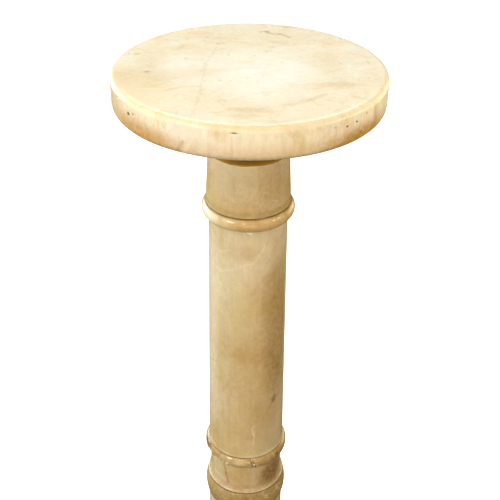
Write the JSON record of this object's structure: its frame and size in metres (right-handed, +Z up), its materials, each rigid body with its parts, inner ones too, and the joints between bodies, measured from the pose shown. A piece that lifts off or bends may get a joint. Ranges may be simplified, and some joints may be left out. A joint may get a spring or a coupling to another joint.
{
  "type": "marble pedestal column",
  "caption": "Free-standing turned marble pedestal: round top on a gently tapered shaft with half-round rings, hollow foot and round base.",
  "frame": {"origin": "centre of the underside of the round base, on the floor", "axes": "+Z up along the column's axis; the pictured side faces -Y"},
  "size_m": [0.3, 0.3, 1],
  "materials": {
    "cream_marble": "polished cream banded marble, slightly translucent, with brown pits",
    "honey_marble": "polished honey-coloured banded marble with pale veins",
    "amber_marble": "polished amber-coloured banded marble"
  },
  "bodies": {
    "root": {"top_slab": "cream_marble", "capital": "honey_marble", "neck": "honey_marble", "upper_ring": "amber_marble", "shaft": "honey_marble", "middle_ring": "amber_marble", "collar": "honey_marble", "bead": "amber_marble", "drum": "honey_marble", "foot_ring": "amber_marble", "foot": "honey_marble", "base_slab": "cream_marble"}
  },
  "joints": []
}
